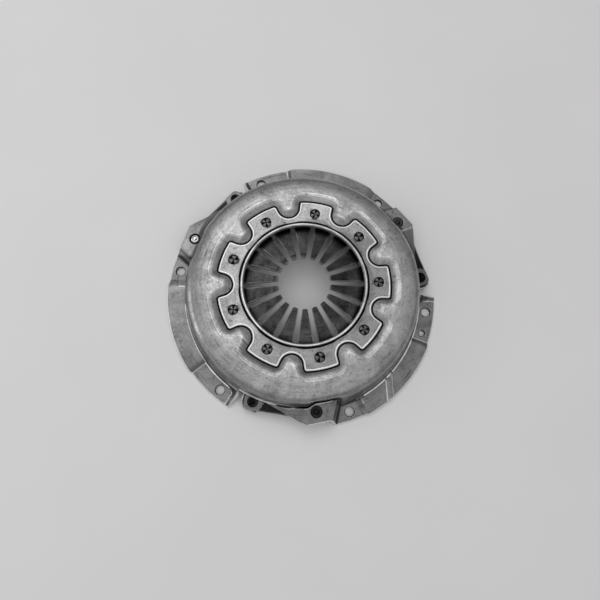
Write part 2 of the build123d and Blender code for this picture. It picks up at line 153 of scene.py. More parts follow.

# %% [markdown]
# ## Sheet with a rounded edge
# Most of a clutch cover is sheet steel. A grid gives the upper face, the same grid moved back
# along its normals gives the lower one, and a rim with rounded corners joins them, so that the
# edge catches a thin line of light as a sheared and tumbled edge does. The rim and the upper
# face's border also carry a painted highlight, which makes that line brighter.

# %% Directions on a grid
def unit(vectors):
    return vectors / np.maximum(np.linalg.norm(vectors, axis=-1, keepdims=True), 1e-9)


def slope(values, axis, wrap):
    """Central difference along one direction, joined end to end if it is wrapped."""
    if wrap:
        return np.roll(values, -1, axis) - np.roll(values, 1, axis)
    return np.gradient(values, axis=axis)


def upward_normals(grid, wrap=False):
    """Unit normals of a grid: the cross product of its two directions, turned upwards."""
    normals = unit(np.cross(slope(grid, 0, wrap), slope(grid, 1, False)))
    return normals if normals[..., 2].mean() > 0 else -normals


def rim_loops(rows, columns, wrap):
    """Index pairs round the border: two loops on a ring, one on an open strip."""
    i, j = np.arange(rows), np.arange(columns)
    if wrap:
        return [(i, np.zeros(rows, int)), (i, np.full(rows, columns - 1))]
    across, back = j[1:-1], np.zeros(columns - 2, int)
    return [(np.concatenate([i, back + rows - 1, i[::-1], back]),
             np.concatenate([0 * i, across, 0 * i + columns - 1, across[::-1]]))]

# %% Thick sheet from one grid
QUARTER = np.radians([0, 30, 60, 90])
RIM_RINGS = 2 * len(QUARTER) - 2


def thick_sheet(grid, thickness, edge, wrap=False):
    """Points, faces and painted rim highlight of a sheet below a grid (rows along the path,
    columns across).
    The lower face is the upper one less thickness times its normal. The rim runs from one to the
    other through two quarter rounds of radius edge, drawn in the plane of the outward direction,
    which is the cross product of the border's tangent and the normal. The points come in order:
    upper face, lower face, then RIM_RINGS rings of rim for each loop of the border."""
    rows, columns = grid.shape[:2]
    normals = upward_normals(grid, wrap)
    upper, lower = grid.copy(), grid - thickness * normals
    rim, faces = [], []
    out = edge * (np.sin(QUARTER) - 1)
    down = edge * (1 - np.cos(QUARTER))
    ring_out = np.concatenate([out, out[::-1]])
    ring_down = np.concatenate([down, thickness - down[::-1]])
    flat = np.zeros((2, rows, columns))
    count = rows * columns
    start = 2 * count
    for loop_i, loop_j in rim_loops(rows, columns, wrap):
        border, normal = grid[loop_i, loop_j], normals[loop_i, loop_j]
        inner_i = loop_i if wrap else np.clip(loop_i, 1, rows - 2)
        inside = grid[inner_i, np.clip(loop_j, 1, columns - 2)]
        outward = unit(np.cross(slope(border, 0, True), normal))
        outward = outward * np.sign(np.sum(outward * (border - inside), -1).mean())
        upper[loop_i, loop_j] = border + ring_out[0] * outward
        lower[loop_i, loop_j] = border + ring_out[-1] * outward - thickness * normal
        rings = (border + ring_out[1:-1, None, None] * outward
                 - ring_down[1:-1, None, None] * normal)
        rim.append(rings.reshape(-1, 3))
        size = len(loop_i)
        table = np.concatenate([[loop_i * columns + loop_j],
                                start + np.arange(len(rings) * size).reshape(-1, size),
                                [count + loop_i * columns + loop_j]])
        faces.append(table.reshape(-1)[grid_faces(len(table), size, wrap_columns=True)])
        start += len(rings) * size
        # The upper face's border and every rim ring get 1: a painted highlight along the edge.
        flat[:, loop_i, loop_j] = 1
    faces += [grid_faces(rows, columns, wrap_rows=wrap),
              grid_faces(rows, columns, wrap_rows=wrap, first=count)[:, ::-1]]
    points = np.concatenate([upper.reshape(-1, 3), lower.reshape(-1, 3)] + rim)
    return points, np.concatenate(faces), np.append(flat, np.ones(len(points) - 2 * count))

# %% [markdown]
# ## The lobed outline
# Nine notches are cut into the retainer plate, and nine noses of the cover stand in them. One
# signed distance serves both: how far a point lies outside the plate. It is the larger of the
# distance outside the tabs' circle and the distance inside a notch, rounded at the corners.

# %% Distance outside the retainer plate
TAB_RADIUS, NOTCH_RADIUS, NOTCH_CENTRE, NOTCH_FLARE = 83.0, 11.0, 78.5, math.radians(17)
TAB_CORNER = 2.0


def depth_in_notch(x, y):
    """How far a point lies inside a notch that opens along +x from its own centre; outside is
    negative. Behind the tangent points the border is the circle, beyond them it is a straight
    line turned outwards by the flare."""
    side = np.abs(y)
    beyond = x * math.cos(NOTCH_FLARE) + side * math.sin(NOTCH_FLARE) > 0
    straight = side * math.cos(NOTCH_FLARE) - x * math.sin(NOTCH_FLARE)
    return NOTCH_RADIUS - np.where(beyond, straight, np.hypot(x, y))


def outside_plate(radius, angle):
    """Signed distance from the retainer plate's border in mm, positive outside it."""
    turn = np.radians((np.asarray(angle) - FIRST_RIVET) % PITCH - PITCH / 2)
    notch = depth_in_notch(radius * np.cos(turn) - NOTCH_CENTRE, radius * np.sin(turn))
    a, b = notch + TAB_CORNER, radius - TAB_RADIUS + TAB_CORNER
    corner = np.hypot(np.maximum(a, 0), np.maximum(b, 0))
    return corner + np.minimum(np.maximum(a, b), 0) - TAB_CORNER


print("distance at a nose tip:", round(float(outside_plate(67.5, FIRST_RIVET + 20)), 2))

# %% [markdown]
# The border is also needed as a path, for the plate's edge and the pocket round it. Along each
# angle the distance grows steadily, so halving an interval finds where it is zero. The path is
# then divided by length, with more points where it bends tightly.

# %% Path along the border
PER_PITCH, FINE_STEPS, HALVINGS = 88, 4001, 40
INSIDE_BORDER, OUTSIDE_BORDER = 66.0, 84.0
BEND_WEIGHT, BEND_WINDOW, BEND_ENDS = 3.0, 31, 40


def lobed_path():
    """Points in mm and outward unit normals along the border, nine times PER_PITCH of them.
    One pitch is solved finely, measured by length times (1 + weight times curvature), divided
    evenly by that measure and turned to the nine places."""
    fine = FIRST_RIVET + np.linspace(-PITCH / 2, PITCH / 2, FINE_STEPS)
    low, high = np.full(fine.size, INSIDE_BORDER), np.full(fine.size, OUTSIDE_BORDER)
    for _ in range(HALVINGS):
        middle = (low + high) / 2
        outside = outside_plate(middle, fine) > 0
        low, high = np.where(outside, low, middle), np.where(outside, middle, high)
    points = polar(high, fine)[:, :2]
    step = np.gradient(points, axis=0)
    heading = np.unwrap(np.arctan2(step[:, 1], step[:, 0]))
    averaged = np.convolve(heading, np.ones(BEND_WINDOW) / BEND_WINDOW, "same")
    bend = np.abs(np.gradient(averaged))
    bend[:BEND_ENDS] = bend[-BEND_ENDS:] = bend[BEND_ENDS]
    measure = np.cumsum(np.linalg.norm(step, axis=1) + BEND_WEIGHT * bend)
    wanted = measure[0] + (measure[-1] - measure[0]) * np.arange(PER_PITCH) / PER_PITCH
    x, y = (np.interp(wanted, measure, points[:, k]) for k in (0, 1))
    dx, dy = (np.interp(wanted, measure, step[:, k]) for k in (0, 1))
    radius, angle = radius_and_angle(np.stack([x, y], -1))
    facing = np.degrees(np.arctan2(-dx, dy))
    turns = (np.arange(RIVETS) * PITCH)[:, None]
    angle, facing = (angle + turns).reshape(-1), (facing + turns).reshape(-1)
    return polar(np.tile(radius, RIVETS), angle), polar(1.0, facing), angle


border, border_normal, border_angle = lobed_path()
print("points along the border:", len(border))

# %% [markdown]
# ## The cover's dome
# The dome is pressed from flat sheet: a rounded shoulder, a pocket for the retainer plate with
# nine noses left standing in it, and a collar turned up round the bore. One closed section is
# carried round the axis. Beside the plate its rows run parallel to the plate's border, elsewhere
# they are circles, so the crisp edge of the pocket never crosses the grid. The noses come by
# themselves, because height is a function of the distance to the plate.

# %% Heights of the crown and pocket
FLOOR, GROOVE, STEP, STEP_WIDTH, WALL_WIDTH = 36.0, 0.45, 1.9, 0.9, 8.4
CROWN_RADIUS, CROWN = 92.0, 41.0
RIDGE, RIDGE_AWAY, RIDGE_WIDTH = 0.1, 9.2, 0.8


def ease(value):
    """Smooth step: 3v squared less 2v cubed, v held between 0 and 1."""
    v = np.clip(value, 0, 1)
    return v * v * (3 - 2 * v)


def bell(value, centre, width):
    """Bell curve: e to the power of minus (v squared), v being the distance in widths."""
    return np.exp(-((value - centre) / width) ** 2)


def crown_height(radius):
    """Upper face outside the pocket: level at the crown, falling as a parabola to each side."""
    out = np.maximum(radius - CROWN_RADIUS, 0) / 14.1
    inwards = np.maximum(CROWN_RADIUS - radius, 0)
    return CROWN - 2.2 * out ** 2 - 0.0034 * inwards ** 2


def pressed_height(radius, away, under=0.0):
    """Height at a distance away from the plate's border: a groove at floor height, a small steep
    step, a parabola up to the crown level, and a low ridge where the press tool ended. under
    lowers it for the lower face."""
    from_groove = away - GROOVE - 0.6 * under / SHEET
    step = ease(from_groove / STEP_WIDTH)
    rise = 1 - (1 - np.clip(from_groove / WALL_WIDTH, 0, 1)) ** 2
    ridge = RIDGE * bell(away, RIDGE_AWAY, RIDGE_WIDTH) * ease((radius - 84) / 5)
    return FLOOR + STEP * step + (crown_height(radius) - FLOOR - STEP) * rise + ridge - under


print("nose height at radius 75:", round(float(pressed_height(75.0, 7.5)), 2))

# %% [markdown]
# The wall leans inwards as it rises. It is pressed in beside each strap rivet, to make room for
# the riveting tool, and its lower edge ends in the flange, under a strap pad or above a lug.

# %% The dome's wall
WALL_TOP, WALL_TOP_RADIUS, WALL_LEAN = 31.1, 112.86, 0.1695


def wall_radius(height):
    """Outer radius of the leaning dome wall at a height."""
    return WALL_TOP_RADIUS + (WALL_TOP - height) * WALL_LEAN


def from_trailing(angle):
    """Angle from the segment's trailing bolt, from -112.4 up to the cut end at 7.6 degrees."""
    return (np.asarray(angle) - CUT_END) % 120 - 112.4


def recess(angle, height):
    """How far the wall is pressed in beside a strap rivet, most at the pad, least at the crown."""
    beside = from_trailing(angle) - STRAP_FROM_TRAILING
    width = ease((beside + 5) / 6) * (1 - ease((beside - 9.3) / 4))
    return 4.6 * width * np.clip((39 - height) / 16, 0, 1) ** 0.8


def wall_foot(angle):
    """Lower edge of the dome wall: in the flange sheet, under the strap pads or over the lugs."""
    stops = [-112.4, -100.5, -98, -64.9, -62.4, 1.0, 3.0, 5.0, CUT_END]
    heights = [20.5, 20.5, 20.3, 20.3, 1.75, 1.75, 4.5, 9.0, 16.0]
    return np.interp(from_trailing(angle), stops, heights)


def over_lug(angle):
    """One where the wall ends above a lug or beside a wing, nought beside pads and flange."""
    beside = from_trailing(angle)
    return np.where(beside > 0, ease((beside - 5) / 2), 1 - ease((beside + 86) / 5))


print("height of the wall's foot beside a bolt and at a strap:", wall_foot([0.0, -75.0]))

# %% [markdown]
# The closed section is drawn in pieces that follow each other: up the outside of the wall, over
# the shoulder, across the crown and pocket, up and over the lip, then back along the underside.

# %% Rows of the dome
SHOULDER_RADIUS, SHOULDER_HEIGHT, BEND = 103.3, 29.5, 9.7
FIRST_BEND, LAST_BEND = 17.0, 80.4
POCKET_WIDTH, CROWN_CIRCLE = 8.9, 95.5
FLARE = 1.3
even_angle = border_angle[0] + np.arange(len(border)) * 360.0 / len(border)
outer_turn = ((border_angle + even_angle) / 2)[:, None]
inner_turn = even_angle[:, None]


def dome_row(radius, height, turn):
    """Polar points for every column; radius or height may be one number or change with turn."""
    return polar(*np.broadcast_arrays(radius, turn, height))


def wall_rows(inset, steps):
    """Rows of the wall between its lower edge and its shoulder, moved inwards by inset. Above
    the lugs the last two millimetres turn outwards by an eased step."""
    foot = wall_foot(outer_turn)
    height = foot + 0.5 + (WALL_TOP - foot - 0.5) * steps
    flare = FLARE * ease((foot + 2.4 - height) / 1.9) * over_lug(outer_turn)
    radius = wall_radius(height) - inset - recess(outer_turn, height) + flare
    return dome_row(radius, height, outer_turn)


def shoulder_rows(bend, bends):
    """Rows on a quarter round of radius bend about the shoulder's centre."""
    height = SHOULDER_HEIGHT + bend * np.cos(np.radians(bends))
    radius = SHOULDER_RADIUS + bend * np.sin(np.radians(bends))
    radius = radius - recess(outer_turn, height + BEND - bend)
    return dome_row(radius, height, outer_turn)


def crown_rows(shares, under=0.0):
    """Rows between the crown's circle and the curve round the pocket, straight in plan; each
    height follows from the distance to the plate."""
    circle, curve = polar(CROWN_CIRCLE, outer_turn), border + POCKET_WIDTH * border_normal
    points = circle + (curve[:, None] - circle) * np.asarray(shares)[:, None]
    radius, angle = radius_and_angle(points)
    away = np.maximum(outside_plate(radius, angle), POCKET_WIDTH)
    points[..., 2] = pressed_height(radius, away, under)
    return points


def pocket_rows(levels, under=0.0):
    """Rows parallel to the plate's border at each distance outside it."""
    points = border[:, None] + border_normal[:, None] * np.asarray(levels)[:, None]
    radius = radius_and_angle(points)[0]
    points[..., 2] = pressed_height(radius, np.broadcast_to(levels, radius.shape), under)
    return points


def lip_section():
    """Radius and height from the pocket floor up the lip, over its round top and down the bore."""
    over = np.radians(np.linspace(0, 180, 11))
    under = np.radians(np.linspace(180, 270, 6))
    radius = np.concatenate([[64.0, 61.7, 61.3, 61.2], 59.35 + 1.85 * np.cos(over),
                             62.0 + 4.5 * np.cos(under)])
    height = np.concatenate([[36, 36.05, 36.3, 37.2], 38.65 + 1.85 * np.sin(over),
                             37.0 + 4.5 * np.sin(under)])
    return radius, height

# %% Dome mesh
steps = np.array([0, 0.07, 0.15, 0.24, 0.42, 0.6, 0.8, 1])[None, :]
bends = np.linspace(LAST_BEND, FIRST_BEND, 9)[None, 1:]
crown = np.array([104.4, 102.2, 100.0, 98.2, 96.8])
levels = np.array([POCKET_WIDTH, 8.2, 7.4, 6.5, 5.6, 4.7, 3.8, 3.0, 2.3, 1.7, 1.35, 1.1, 0.85, 0.6,
                   0.4, -1.0])
foot = wall_foot(outer_turn)
foot_out = wall_radius(foot) - recess(outer_turn, foot) + FLARE * over_lug(outer_turn)
lower_edge = ((SHEET - 0.2, 0.15), (SHEET - 0.6, 0.0), (0.6, 0.0), (0.2, 0.15))
sections = [wall_rows(0, steps), shoulder_rows(BEND, bends),
            dome_row(crown, crown_height(crown), outer_turn),
            crown_rows([0, 0.12, 0.25, 0.4, 0.55, 0.7, 0.85]), pocket_rows(levels),
            dome_row(*lip_section(), inner_turn), dome_row(64.5, FLOOR - SHEET, inner_turn),
            pocket_rows(levels[[15, 12, 9, 7, 5, 2]], SHEET), crown_rows([0.7, 0.3], SHEET),
            dome_row(np.array([97.0, 101.0]), crown_height(99.0) - SHEET, outer_turn),
            shoulder_rows(BEND - SHEET, bends[:, ::-2]), wall_rows(SHEET, steps[:, ::-2])]
sections += [dome_row(foot_out - inset, foot + lift, outer_turn) for inset, lift in lower_edge]
sections = np.concatenate(sections, axis=1)

# %% [markdown]
# Painted highlights lie on the top of the lip, on the crest of the pocket and along the wall's
# lower edge above the lugs. Painted shade lies on the wall, in the pocket and at the noses' tips,
# and most round the foot of the lip and beside the strap pads.
# The grid's columns say where: 0 to 7 are the wall, 8 to 15 the shoulder, 16 to 27 the crown, 28
# to 43 the pocket, 44 to 64 the lip, and the rest is the underside.

# %% Painted highlights and shade of the dome
rubbed = np.zeros(sections.shape[:2])
# Painted highlight along the wall's lowest rows where they end above a lug.
rubbed[:, [0, 1, -1, -2]] = over_lug(outer_turn)
# Painted shade on rows 3 to 10 of the wall, a painted highlight on the crest at 27 and 28, painted
# shade in the pocket at 32 to 43, deepest in the groove and on the lip's outer side at 45 to 50, and
# a painted highlight on the lip's top at 52 and 53.
for first, last, mark in ((3, 10, -0.35), (27, 27, 0.4), (28, 28, 0.6), (32, 38, -0.2),
                          (39, 43, -0.5), (45, 50, -1.0), (52, 53, 0.7)):
    rubbed[:, first:last + 1] = mark
# Painted shadow on the wall just above each strap pad.
beside = from_trailing(outer_turn)
shade_beside_pad = ease((-61 - beside) / 3) * ease((beside + 90) / 4)
rubbed[:, 6:10] = np.minimum(rubbed[:, 6:10], -0.9 * shade_beside_pad)
# Painted shade on the noses' tips.
around_noses = slice(24, 39)
shaded_nose_tips = radius_and_angle(sections[:, around_noses])[0] < 75.5
rubbed[:, around_noses][shaded_nose_tips] = -0.35
dome = make_piece("cover_dome", sections,
                  grid_faces(*sections.shape[:2], wrap_rows=True, wrap_columns=True), rubbed)

# %% [markdown]
# ## The cover's flange
# The flange is three equal pieces. Each starts at a cut end that is drawn up into a gusset,
# carries a bolt pad, runs on as plain flange, comes down to the next bolt pad, climbs a steep wall
# to the raised strap pad and ends in a sloping wing. All those edges lie across the piece, so the
# grid is made of straight lines from the dome wall to the flange's edge, and only their ends and
# heights change along the way.

# %% Lines across the flange
# Each row: inner angle, outer angle (from the trailing bolt), outer radius, inner and outer height,
# steps to the next row, and whether the outer edge runs straight to the next row.
LINES = np.array([
    (CUT_END, 7.0, 135.0, BOLT_PAD, BOLT_PAD, 56, 0),
    (-13.5, -13.3, 135.7, BOLT_PAD, BOLT_PAD, 7, 0), (-15.6, -15.4, 136.9, PLAIN, PLAIN, 110, 0),
    (-52.6, -52.8, 137.0, PLAIN, PLAIN, 10, 0), (-55.8, -55.3, 135.5, BOLT_PAD, BOLT_PAD, 26, 0),
    (-62.6, -67.1, 134.7, BOLT_PAD, BOLT_PAD, 26, 0),
    (-64.3, -68.9, 129.6, STRAP_PAD, STRAP_PAD, 2, 0),
    (-64.8, -69.5, 129.5, STRAP_PAD, STRAP_PAD, 3, 0),
    (-65.4, -70.2, 129.5, STRAP_PAD, STRAP_PAD, 30, 1),
    (-78.4, -79.5, 131.2, STRAP_PAD, STRAP_PAD, 7, 1), (-81.5, -82.6, 128.2, 22.1, 20.7, 14, 1),
    (-86.7, -87.4, 123.2, 22.0, 19.9, 30, 1), (-100.2, -99.8, 115.4, 21.2, 20.6, 0, 0)])


def between_lines(lines):
    """Evenly spaced values between the lines. On straight stretches the outer point's x and y
    are evenly spaced, not its radius and angle."""
    parts = []
    for a, b in zip(lines[:-1], lines[1:]):
        t = np.linspace(0, 1, int(a[5]), endpoint=False)[:, None]
        part = a[:5] + (b[:5] - a[:5]) * t
        if a[6]:
            corners = polar(np.array([a[2], b[2]]), np.array([a[1], b[1]]))
            part[:, 2], part[:, 1] = radius_and_angle(corners[0] + (corners[1] - corners[0]) * t)
        parts.append(part)
    return np.concatenate(parts + [lines[-1:, :5]])


def rounded(values, passes):
    """Bends get their radius from repeated averages of each line with its two neighbours."""
    for _ in range(passes):
        averages = (values[:-2] + 2 * values[1:-1] + values[2:]) / 4
        values = np.concatenate([values[:1], averages, values[-1:]])
    return values


lines = between_lines(LINES)
lines[:, 3:] = rounded(lines[:, 3:], 4)
print("flange: lines across each segment:", len(lines))

# %% [markdown]
# The end gusset is a fillet that is tight at the pad and reaches well up the dome at the cut end.
# Its height is a product of two shares: of the way to the cut end, and of the way in to the dome.
# One segment also has a shallow raised band across it.

# %% Gusset and raised band
BAND_START, BAND_END = polar(np.array([121.4, 136.5]), np.array([-36.6, -42.0]))
BAND_HEIGHT = 0.5


def gusset_start(radius):
    """Angle where the end gusset starts: 5.1 degrees less a share that decays from the dome."""
    return 5.1 - 4.1 * np.exp(-np.maximum(radius - 118.6, 0) / 1.8)


def gusset(radius, angle):
    """Extra height near the cut end, highest at the cut and beside the dome."""
    start = gusset_start(radius)
    end = CUT_END - 0.6 * (radius - 117) / 18
    share = np.clip((angle - start) / (end - start), 0, 1)
    inner = np.clip((135 - radius) / 19, 0, 1)
    return (1.2 + 15.0 * inner ** 2.2) * share ** 1.25


def across_band(radius, angle):
    """Distance in mm from the middle of the raised band that crosses the plain flange."""
    along = unit(BAND_END - BAND_START)
    from_start = polar(radius, angle) - BAND_START
    return from_start[..., 1] * along[0] - from_start[..., 0] * along[1]


def band(radius, angle):
    """Height of the band: an eased step up at one line and down at the other."""
    across = across_band(radius, angle)
    return BAND_HEIGHT * ease((across + 3.6) / 1.4) * (1 - ease((across - 2.2) / 1.4))

# %% Grid of a segment
ACROSS_FLAT = np.concatenate([[0.02, 0.04, 0.06], np.linspace(0, 1, 12)[1:-1], [0.95, 1.0]])
FILLET, PAD_GROOVE = 1.8, 1.0


def flange_grid(trailing):
    """Points of one segment's upper face. Across each line: a concave quarter round from the dome
    wall, whose distance is f(1 - cos) and height f(1 - sin), then a straight run to the edge. On
    the raised pad the fillet shrinks and a groove takes its place."""
    inner_angle, outer_angle, outer_radius, inner_z, outer_z = lines.T[:, :, None]
    inner_radius = wall_radius(inner_z) - recess(inner_angle, inner_z) - 0.05
    inner = polar(inner_radius, inner_angle)
    outer = polar(outer_radius, outer_angle)
    width = np.linalg.norm(outer - inner, axis=-1)
    raised = ease((inner_z - 12) / 8) * (1 - ease((-84 - inner_angle) / 4))
    fillet = np.minimum(FILLET, 0.4 * width) * (1 - 0.75 * raised)
    bend = np.radians(np.linspace(0, 90, 6))[None, :]
    distance = np.concatenate([0 * width - 0.3, fillet * (1 - np.cos(bend)),
                               fillet + (width - fillet) * ACROSS_FLAT], 1)
    lift = np.concatenate([fillet + 1.4, fillet * (1 - np.sin(bend)), 0 * ACROSS_FLAT * width], 1)
    lift = lift - PAD_GROOVE * raised * bell(distance, 0.75, 0.45)
    share = distance / width
    radius, angle = radius_and_angle(inner + (outer - inner) * share[..., None])
    height = inner_z + (outer_z - inner_z) * share + lift + gusset(radius, angle)
    if trailing == 0:
        height = height + band(radius, angle)
    return polar(radius, angle + trailing, height)

# %% [markdown]
# As on the dome, the folds carry painted light: a painted highlight along the foot of the dome,
# painted shade in the groove and a painted highlight beside the raised pad, and lines of painted
# highlight or painted shade across at each change of height. Columns 0 to 6 of the grid are the
# fillet, 7 to 9 lie close beside it, and the last is the edge.

# %% Segments of the flange
# Each line: segments it is on, from and to angle, first and last column, and its value, a
# painted highlight above nought and painted shade below.
ALL, EDGE = (1, 2, 3), 21
SHADE_AND_HIGHLIGHT_LINES = (
    (ALL, 0, -60, 3, 4, -0.7), (ALL, -14, -44, 5, 7, 0.55), ((1,), -14, -51, 5, 8, 0.8),
    (ALL, -58.7, -59.3, 7, EDGE, 0.4), ((1,), -52.9, -55.2, 7, 15, -0.5),
    (ALL, 4, -14, 6, 8, 0.85), ((2, 3), -44, -50, 5, 7, 0.3), (ALL, -55, -62.6, 5, 8, -0.9),
    (ALL, -55.3, -56, 9, EDGE, -0.35), (ALL, -52.6, -53, 8, 13, 0.5),
    (ALL, -13.2, -13.6, 7, EDGE, 0.9), (ALL, -14, -15.2, 8, EDGE, -0.35),
    (ALL, -63.2, -63.6, 7, EDGE, 0.6), (ALL, -62.2, -62.8, 7, EDGE, -0.6),
    (ALL, -64.3, -64.6, 7, EDGE, 0.5), (ALL, -65.5, -97, 4, 9, -1.0),
    ((1,), -66, -97, 10, 10, 0.8), ((2, 3), -64, -90, 10, 11, -0.9),
    ((3,), -64, -88, 12, 12, -0.7), ((2,), -64, -88, 12, 12, -0.9), ((2,), -66, -80, 13, 13, -0.3),
    ((3,), -64.7, -70, 13, EDGE, 0.3), ((3,), -70, -84, 13, EDGE, 0.22),
    ((1,), -79.2, -79.8, 11, EDGE, 0.3), ((2,), -79.2, -79.8, 11, EDGE, 0.5),
    ((1, 2), -80.5, -97, 12, EDGE, -0.2))
BESIDE_FOOT = 118.5


def flange_piece(number, trailing):
    """A segment with its painted highlights and shade, its gusset outlined by a painted highlight
    with painted shade beside it, and painted highlights along the raised band's two sides.
    """
    grid = flange_grid(trailing)
    points, faces, rubbed = thick_sheet(grid, SHEET, edge=0.7)
    upper = rubbed[:grid[..., 0].size].reshape(grid.shape[:2])
    for segments, start, end, first, last, mark in SHADE_AND_HIGHLIGHT_LINES:
        if number in segments:
            rows = (lines[:, 0] <= start) & (lines[:, 0] >= end)
            upper[rows, first:last + 1] = mark
    radius, angle = radius_and_angle(grid)
    angle = angle - trailing
    beyond = (angle + 180) % 360 - 180 - gusset_start(radius)
    # Painted highlight where the gusset starts, painted shade just beyond it.
    upper[(np.abs(beyond - 0.15) < 0.22) & (radius > BESIDE_FOOT)] = 0.9
    upper[(beyond > 0.7) & (beyond < 2.2) & (radius > BESIDE_FOOT)] = -0.3
    if trailing == 0:
        # Painted highlights along both sides of the raised band.
        from_side = np.abs(across_band(radius, angle) + 0.3) - 3.1
        line = bell(from_side, 0, 0.75) * ease((radius - BESIDE_FOOT) / 2)
        upper[:] = np.where(line > 0.05, 0.75 * line, upper)
    return make_piece(f"cover_flange_{number}", points, faces, rubbed)


flange = [flange_piece(*numbered) for numbered in enumerate(TRAILING_BOLTS, start=1)]

# %% [markdown]
# ## Holes
# A punched hole has a slight lead-in at its rim. A cutter is turned from a profile that flares at
# both ends, and a Boolean modifier, applied at once, takes it out of the sheet.

# %% Turned shapes
COLUMNS = 48
around = np.arange(COLUMNS)[None, :] * 360.0 / COLUMNS


def turned(profile):
    """Points and faces of a profile (radius, height) turned about Z."""
    points = polar(profile[:, :1], around, profile[:, 1:])
    return points, grid_faces(len(profile), COLUMNS, wrap_columns=True)


def merged(points, faces, places):
    """The same points and faces at several places in one mesh."""
    first = np.arange(len(places))[:, None, None] * points[..., 0].size
    return points + places[:, None, None], (faces[None] + first).reshape(-1, 4)

# %% Punch holes
def punch(piece, places, radius, low, high, flare=0.5):
    """Takes flared round cutters out of a piece; low and high are the sheet's two faces."""
    profile = np.array([(0, low - 1), (radius + flare + 1, low - 1), (radius, low + flare),
                        (radius, high - flare), (radius + flare + 1, high + 1), (0, high + 1)])
    points, faces = merged(*turned(profile), np.atleast_2d(places))
    # The cutter's value of -0.9 passes to the hole walls it leaves: painted shade inside the holes.
    cutter = make_piece("cutter", points, faces, np.full(points[..., 0].size, -0.9))
    outward_faces(cutter.data, join_doubles=True)
    cut = piece.modifiers.new("holes", "BOOLEAN")
    cut.operation, cut.solver, cut.object = "DIFFERENCE", "MANIFOLD", cutter
    graph = bpy.context.evaluated_depsgraph_get()
    result = bpy.data.meshes.new_from_object(piece.evaluated_get(graph))
    piece.modifiers.clear()
    old, piece.data = piece.data, result
    result.name = piece.name
    bpy.data.meshes.remove(old)
    bpy.data.objects.remove(cutter)
    smooth(result)
    print(piece.name, "after punching:", len(result.polygons), "faces")


for segment, trailing in zip(flange, TRAILING_BOLTS):
    bolts = polar(BOLT_RADIUS, np.array([trailing, trailing - 60]))
    punch(segment, bolts, BOLT_HOLE, 0.0, BOLT_PAD)
    punch(segment, polar(STRAP_RADIUS, trailing + STRAP_FROM_TRAILING), STRAP_HOLE,
          STRAP_PAD - SHEET, STRAP_PAD, flare=0.3)
punch(flange[0], polar(BOLT_RADIUS, DOWEL_ANGLE), DOWEL_HOLE, 0.0, BOLT_PAD)
for piece in [dome] + flange:
    stands_for(piece, "cover")

# %% [markdown]
# ## The retainer plate
# A flat blanked plate holds the spring's upper wire. Its edge is coined round and carries a painted
# highlight, which together give the bright line along the whole lobed border, and the blanking
# tool leaves a faint step a little inside it. Round its bore it is painted dark as shade. The grid
# goes from the bore to the border in straight lines.

# %% Retainer plate
PLATE_TOP, PLATE_THICK, PLATE_BORE, PLATE_EDGE, PLATE_SINK = 39.0, 3.0, 61.9, 1.1, 0.15
RIVET_HOLE = 4.95


def retainer_grid():
    """Upper face of the plate: bore circle, straight lines out to rows parallel to the border.
    The face lies a little below the coined rim, with the step 1.7 to 1.95 mm inside the border."""
    inner = polar(PLATE_BORE, inner_turn[:, 0])
    rows = [border - border_normal * inset for inset in (2.2, 1.95, 1.7, 1.4, 0.0)]
    inward = [inner + (rows[0] - inner) * share for share in (0.0, 0.08, 0.13, 0.3, 0.55, 0.8)]
    grid = np.stack(inward + rows, axis=1)
    grid[..., 2] = PLATE_TOP - PLATE_SINK * np.array([0, 0, 1, 1, 1, 1, 1, 1, 0, 0, 0])
    return grid


grid = retainer_grid()
points, faces, rubbed = thick_sheet(grid, PLATE_THICK, PLATE_EDGE, wrap=True)
face_points = grid[..., 0].size
upper = rubbed[:face_points].reshape(grid.shape[:2])
# Painted highlight on the two rows next to the border.
upper[:, -3:-1] = 1
# Painted shade on the bore's edge and, below, on the rim round the bore.
upper[:, 0] = -0.4
shaded_bore_rim = slice(2 * face_points, 2 * face_points + RIM_RINGS * len(grid))
rubbed[shaded_bore_rim] = -0.9
retainer = make_piece("retainer_plate_lobed", points, faces, rubbed)
punch(retainer, polar(RIVET_RADIUS, rivet_angles), RIVET_HOLE, PLATE_TOP - PLATE_THICK,
      PLATE_TOP, flare=0.25)
stands_for(retainer, "retainer_plate")

# %% [markdown]
# ## Rivets
# Nine shouldered rivets carry the spring between two wires. Their upper ends are staked with a
# lobed punch, so each head's dents differ a little from its neighbours'. A rivet is turned: rows
# follow its profile, columns go round it, and the dents are taken off the top rows.

# %% Pivot rivets
def make_rivets(name, node, profile, places, dents, shine=1.0, crown=0.45, body="cover_assembly"):
    """Rivets at several places as one piece. profile: rows of radius and height from the top.
    dents(place number, radius, turn) gives the depth taken off the top millimetre; what it leaves
    proud, down to crown below the top, gets a painted highlight as strong as shine."""
    profile = np.array(profile, float)
    height, top = profile[:, 1:], profile[0, 1]
    points, faces = merged(*turned(profile), places)
    number = np.arange(len(places))[:, None, None]
    depth = dents(number, profile[None, :, :1], around[None]) * (height > top - 1.0)
    points[..., 2] -= depth
    proud_highlight = shine * np.clip(1 - depth / 0.25, 0, 1) * (height > top - crown)
    piece = make_piece(name, points, faces, np.broadcast_to(proud_highlight, points[..., 0].shape),
                       sharp_angle=40)
    outward_faces(piece.data, join_doubles=True)
    stands_for(piece, node, body)
    return piece


def staked(number, radius, turn):
    """Depth of the punch marks: three or four lobes on a ring of radius 2.9, a small centre pip."""
    lobes = np.where(number % 3 == 1, 3, 4)
    phase = 37.0 * number
    lobe = np.maximum(np.cos(np.radians(lobes * (turn - phase))), 0) ** 1.5
    tilt = 1 + 0.35 * np.cos(np.radians(turn - 80 * number))
    return 0.75 * lobe * bell(radius, 2.9, 1.4) * tilt + 0.3 * bell(radius, 0, 0.6)


